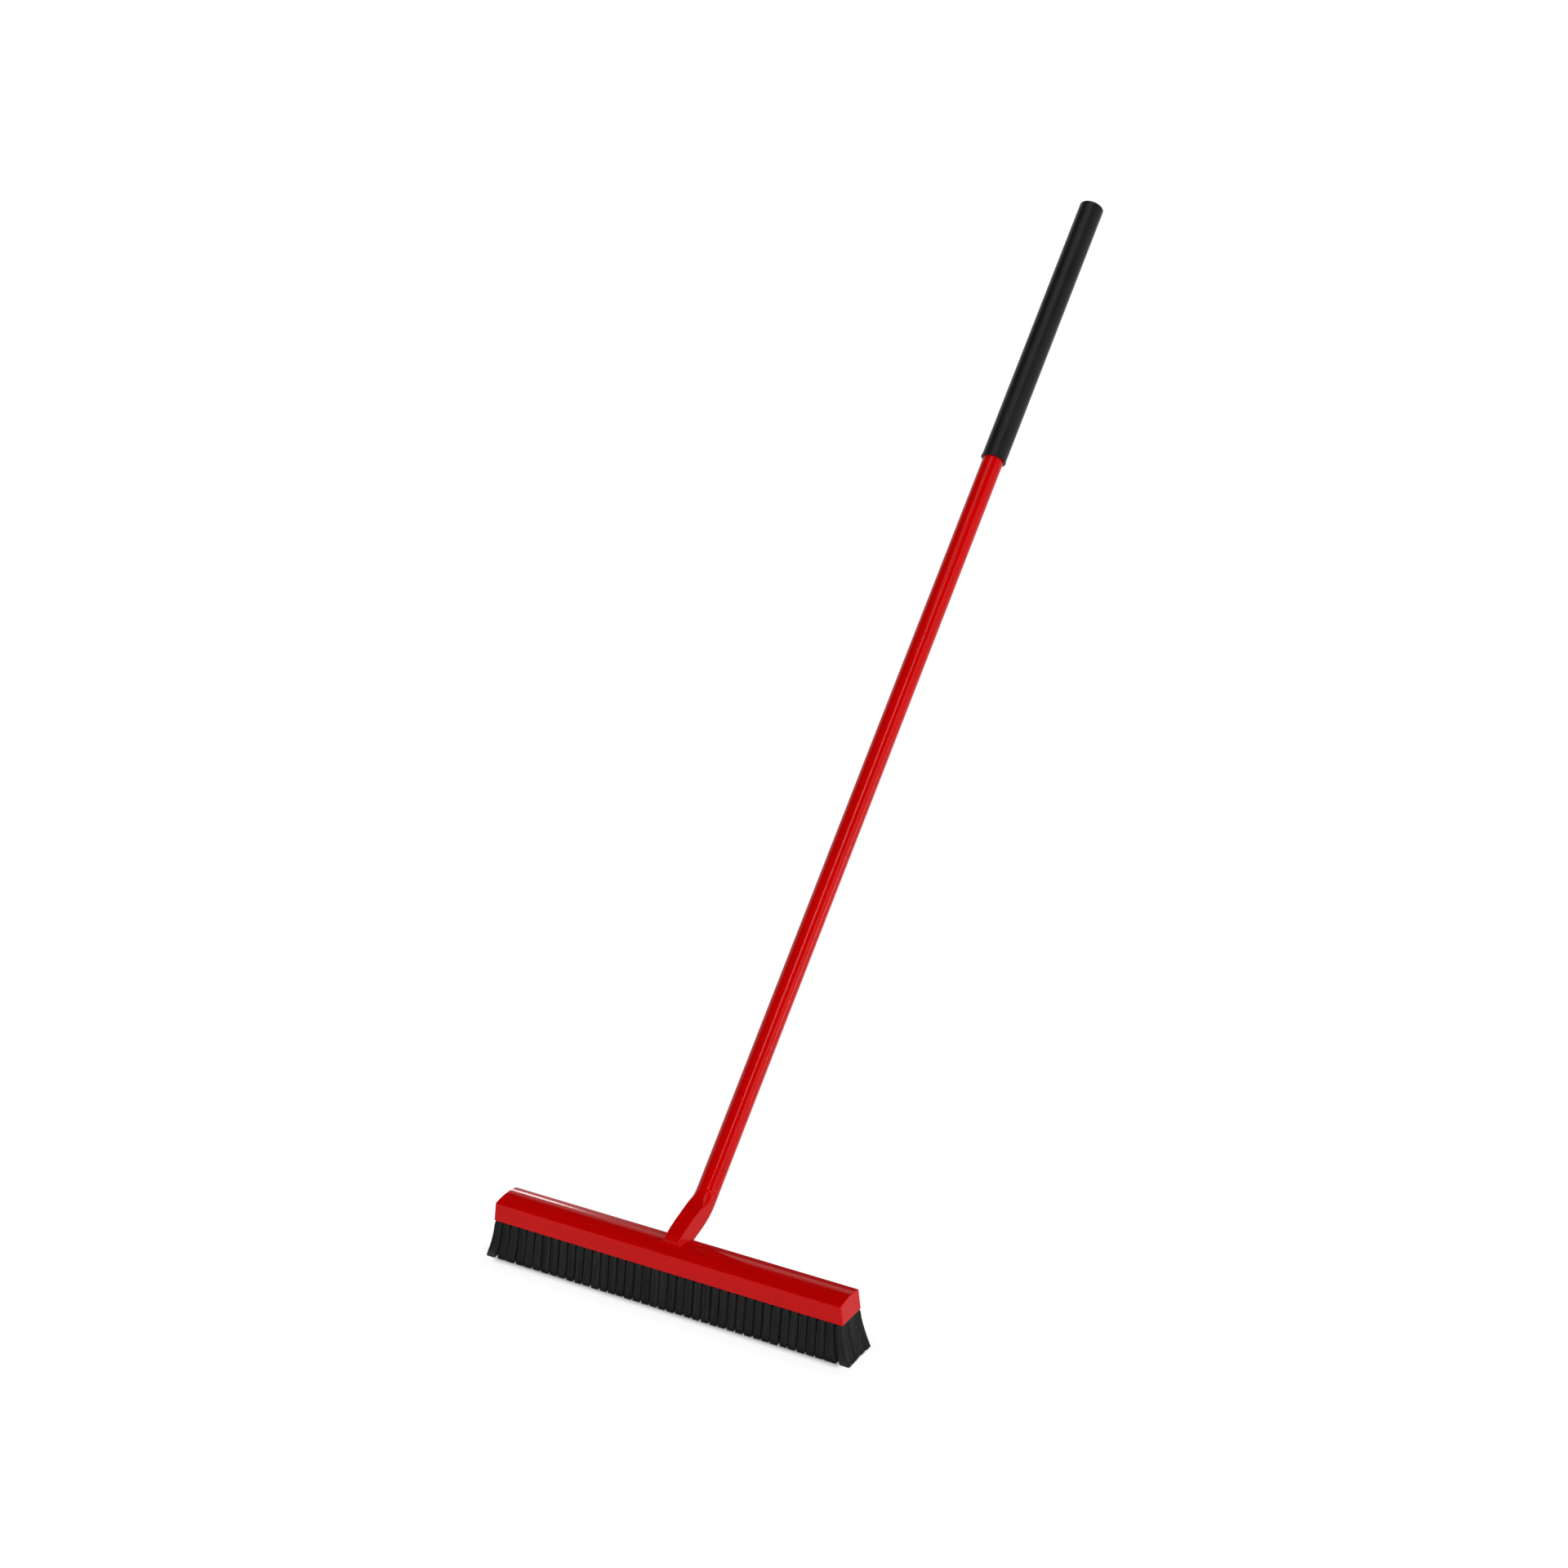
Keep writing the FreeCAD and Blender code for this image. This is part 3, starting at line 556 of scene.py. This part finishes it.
def floor():
    """A white light-table floor whose glow is dimmed close under the bristles into a painted
    contact shadow.
    """
    material, tree, shader = new_material("studio_floor_with_painted_shadow")
    place = object_coordinates(tree)
    cloud = noise(tree, place, 1.5, 3.0)
    colour = ramp(tree, cloud, [
        (0.3, (0.19, 0.19, 0.19)),
        (0.7, (0.21, 0.21, 0.21)),
    ])
    tree.links.new(colour, shader.inputs["Base Color"])
    shader.inputs["Roughness"].default_value = 0.9
    shader.inputs["Specular IOR Level"].default_value = 0.0
    shader.inputs["Emission Color"].default_value = (1, 1, 1, 1)
    shifted = vector_step(tree, "ADD", place, (0, SHADOW_SHIFT, 0))
    folded = vector_step(tree, "ABSOLUTE", shifted)
    painted_shadow_patch = (end_reach - SHADOW_END_INSET, side_reach - SHADOW_SIDE_INSET, 1)
    beyond = vector_step(tree, "SUBTRACT", folded, painted_shadow_patch)
    outside = vector_step(tree, "MAXIMUM", beyond, (0, 0, 0))
    distance = vector_step(tree, "LENGTH", outside)
    # the glow is dimmed near the bristles: a painted contact shadow
    glow_with_painted_shadow = ramp(tree, ranged(tree, distance, 0.0, SHADOW_REACH, 0.0, 1.0), [
        (0.00, (0.31, 0.31, 0.31)),
        (0.06, (0.50, 0.50, 0.50)),
        (0.13, (0.67, 0.67, 0.67)),
        (0.22, (0.79, 0.79, 0.79)),
        (0.70, (0.83, 0.83, 0.83)),
        (1.00, (0.89, 0.89, 0.89)),
    ])
    tree.links.new(glow_with_painted_shadow, shader.inputs["Emission Strength"])
    corners = [(x * FLOOR_HALF, y * FLOOR_HALF, 0) for x, y in ((-1, -1), (1, -1), (1, 1), (-1, 1))]
    mesh = bpy.data.meshes.new("floor")
    mesh.from_pydata(corners, [], [(0, 1, 2, 3)])
    mesh.materials.append(material)
    ground = bpy.data.objects.new("floor", mesh)
    bpy.context.collection.objects.link(ground)
    ground.location.z = -FLOOR_DROP


def place_light(name, data, place, aim=(0, 0, 0)):
    light = bpy.data.objects.new(name, data)
    light.location = place
    light.rotation_euler = (Vector(aim) - Vector(place)).to_track_quat("-Z", "Y").to_euler()
    bpy.context.collection.objects.link(light)
    return light


def soft_sun(name, towards, strength, spread_deg):
    """Even light over the whole floor, from a wide soft disc in the direction given."""
    data = bpy.data.lights.new(name, "SUN")
    data.energy = strength
    data.angle = math.radians(spread_deg)
    place_light(name, data, Vector(towards) * 5)


def panel(name, place, width, height, radiance):
    """An upright bright panel facing the broom, seen only as a reflection."""
    data = bpy.data.lights.new(name, "AREA")
    data.shape = "RECTANGLE"
    data.size = width
    data.size_y = height
    data.energy = math.pi * width * height * radiance
    lamp = place_light(name, data, place, (0, 0, place[2]))
    lamp.visible_camera = False


def studio():
    """A pale band above the horizon, reaching it only at the sides, and dark overhead.

    The stops are directions: the sine of the height above the horizon, and the sideways part.
    """
    world = bpy.data.worlds.new("studio")
    bpy.context.scene.world = world
    world.use_nodes = True
    tree = world.node_tree
    background = tree.nodes["Background"]
    source = node(tree, "ShaderNodeTexCoord")
    split = node(tree, "ShaderNodeSeparateXYZ")
    tree.links.new(source.outputs["Generated"], split.inputs["Vector"])
    band = ramp(tree, split.outputs["Z"], [
        (0.27, (0.0, 0.0, 0.0)),
        (0.31, (1.1, 1.1, 1.1)),
        (0.42, (0.9, 0.9, 0.9)),
        (0.49, (0.03, 0.03, 0.03)),
        (1.00, (0.01, 0.01, 0.01)),
    ])
    low = ramp(tree, split.outputs["Z"], [
        (0.27, (1.0, 1.0, 1.0)),
        (0.31, (0.0, 0.0, 0.0)),
    ])
    sideways = value_step(tree, "ABSOLUTE", split.outputs["X"])
    sides = ramp(tree, sideways, [
        (0.45, (0.10, 0.10, 0.10)),
        (0.48, (1.00, 1.00, 1.00)),
    ])
    low_sides = value_step(tree, "MULTIPLY", low, sides)
    tree.links.new(value_step(tree, "ADD", band, low_sides), background.inputs["Color"])
    background.inputs["Strength"].default_value = 1.0


CAMERA_AZIMUTH = math.radians(29.43)
CAMERA_ELEVATION = math.radians(22.48)
CAMERA_PLACE = (1.5052, -2.4233, 1.7874)
SENSOR_WIDTH = 36.0
FOCAL_LENGTH = 69.95


def camera():
    """The photograph's viewpoint: round to the right of the front, looking down."""
    back = Vector((
        math.sin(CAMERA_AZIMUTH) * math.cos(CAMERA_ELEVATION),
        -math.cos(CAMERA_AZIMUTH) * math.cos(CAMERA_ELEVATION),
        math.sin(CAMERA_ELEVATION)))
    data = bpy.data.cameras.new("camera")
    data.sensor_width = SENSOR_WIDTH
    data.lens = FOCAL_LENGTH
    data.clip_start = 0.05
    data.clip_end = 100
    seen = bpy.data.objects.new("camera", data)
    seen.location = CAMERA_PLACE
    seen.rotation_mode = "QUATERNION"
    seen.rotation_quaternion = (-back).to_track_quat("-Z", "Y")
    bpy.context.collection.objects.link(seen)
    bpy.context.scene.camera = seen


floor()
studio()
soft_sun("key", (0.745, -0.56, 0.36), 1.82, 36)
soft_sun("front", (-0.53, -0.82, 0.22), 0.06, 16)
soft_sun("overhead", (0.0, 0.0, 1.0), 1.15, 44)
soft_sun("stripe", (0.33, -0.42, 0.845), 0.34, 14)
soft_sun("side_stripe", (0.88, -0.04, 0.47), 0.15, 20)
panel("streak_panel", (-4.40, 6.77, 2.33), 0.59, 0.66, 14.0)
panel("side_panel", (4.55, 2.10, 0.36), 1.30, 0.66, 7.0)
camera()
bpy.context.scene.view_settings.view_transform = "Standard"
